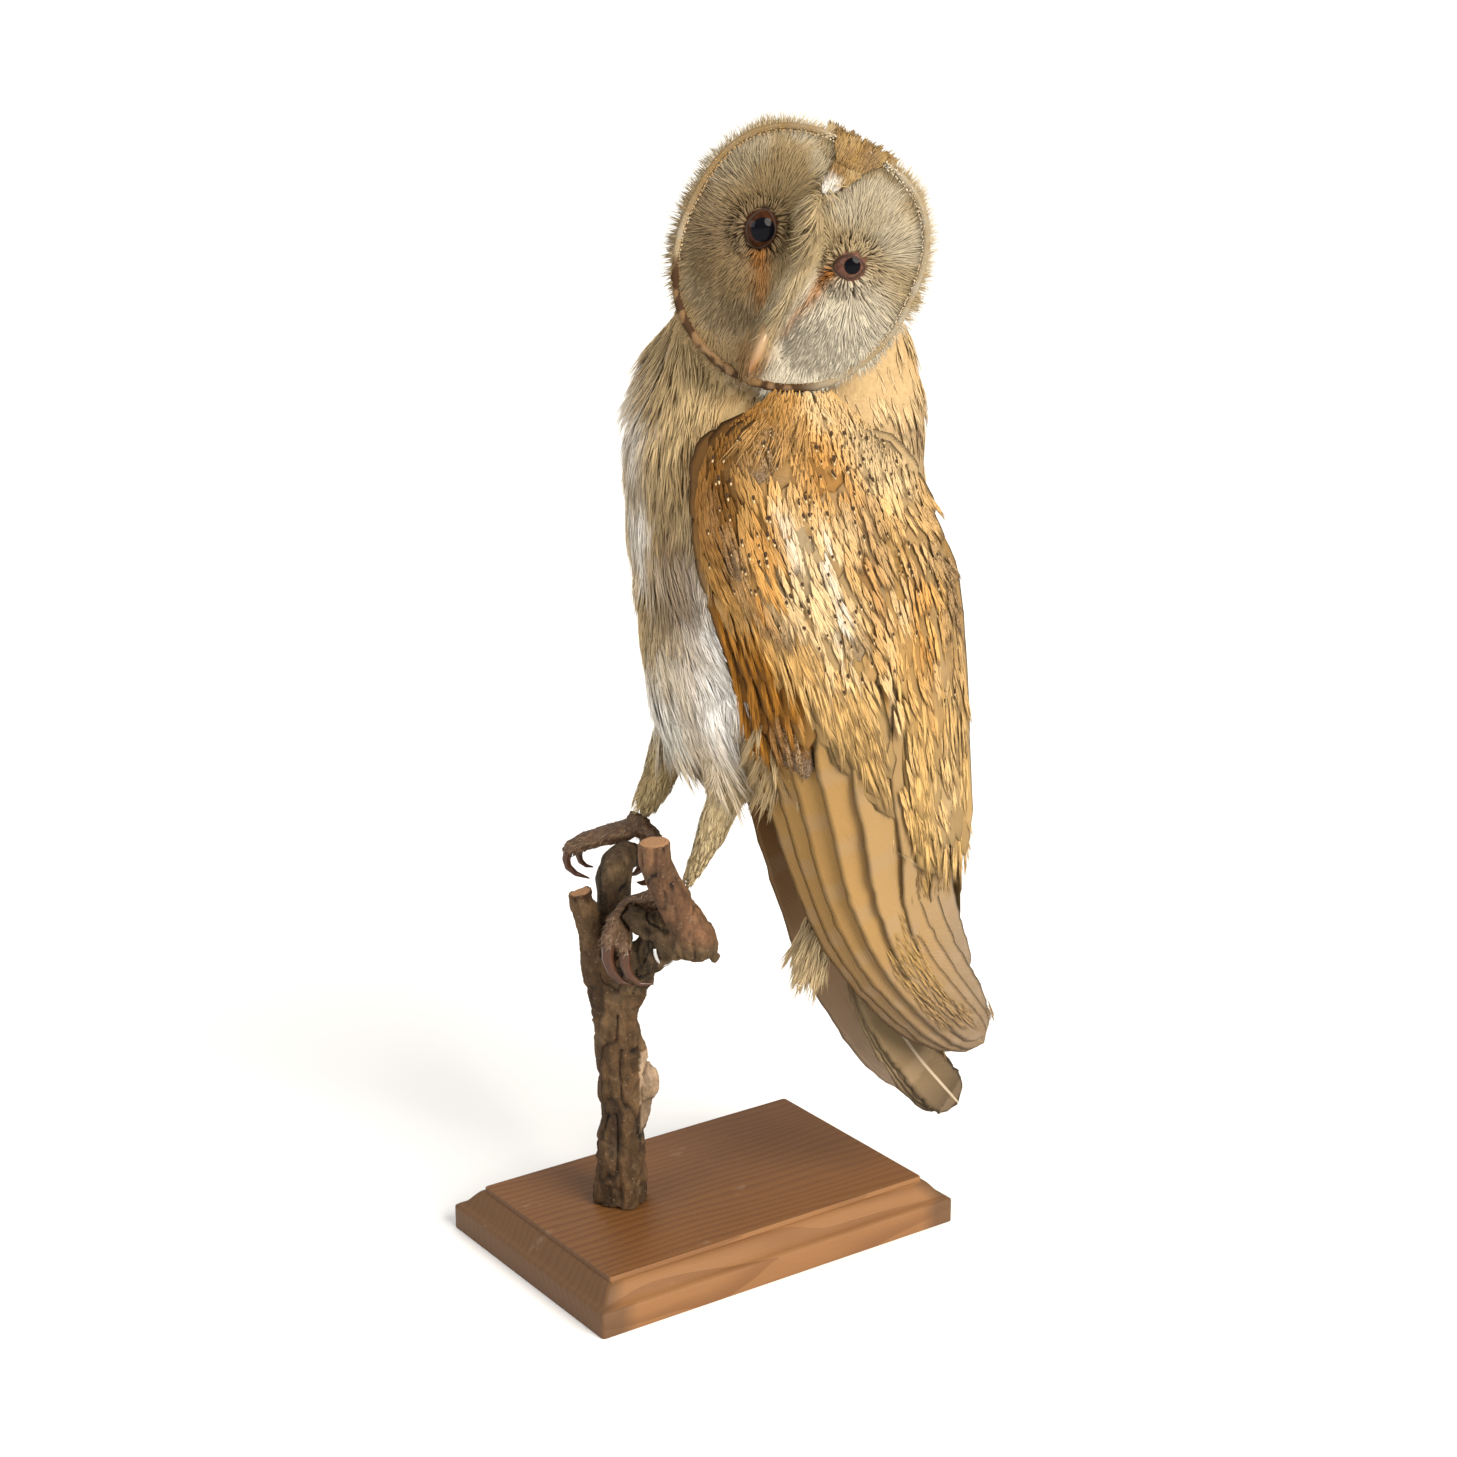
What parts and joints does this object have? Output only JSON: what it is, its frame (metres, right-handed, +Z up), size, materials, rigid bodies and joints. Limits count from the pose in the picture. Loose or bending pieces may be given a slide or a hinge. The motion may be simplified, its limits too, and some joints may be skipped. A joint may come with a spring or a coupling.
{
  "type": "taxidermy barn owl",
  "caption": "Life-size mounted barn owl with folded wings and the head turned to its left, gripping a forked branch that stands on a moulded pine board.",
  "frame": {"origin": "centre of the wooden board's underside", "axes": "+Z up, +X along the board's long side, +Y along its short side; the bird's body faces between -X and +Y and its face looks between -X and -Y"},
  "size_m": [0.1722, 0.1405, 0.439],
  "materials": {
    "pine": "stained and waxed pine, low gloss",
    "bark": "dry bark, with tan cut ends",
    "wire": "bright drawn wire",
    "cream_down": "soft cream and white feathers",
    "golden_coverts": "golden-buff feathers with grey flecks and dark spots",
    "flight_feathers": "stiff straw-gold vanes with faint darker bars",
    "toe_skin": "dry scaly grey-brown skin",
    "claw_horn": "polished dark reddish horn",
    "bill_horn": "pale pinkish horn, satin",
    "glass_eye": "dark brown glass eye, high gloss"
  },
  "bodies": {
    "root": {"board": "pine", "branch": "bark", "tie_wire": "wire", "trunk": "cream_down", "neck": "cream_down", "cranium": "golden_coverts", "facial_disc": "cream_down", "bill": "bill_horn", "eye_left": "glass_eye", "eye_right": "glass_eye", "wing_left": "golden_coverts", "wing_left_flight": "flight_feathers", "wing_right": "golden_coverts", "wing_right_flight": "flight_feathers", "tail": "flight_feathers", "undertail": "cream_down", "thigh_left": "cream_down", "thigh_right": "cream_down", "shank_left": "cream_down", "shank_right": "cream_down", "foot_left": "toe_skin", "foot_right": "toe_skin", "claw_left_inner": "claw_horn", "claw_left_middle": "claw_horn", "claw_left_outer": "claw_horn", "claw_left_hind": "claw_horn", "claw_right_inner": "claw_horn", "claw_right_middle": "claw_horn", "claw_right_outer": "claw_horn", "claw_right_hind": "claw_horn"}
  },
  "joints": []
}
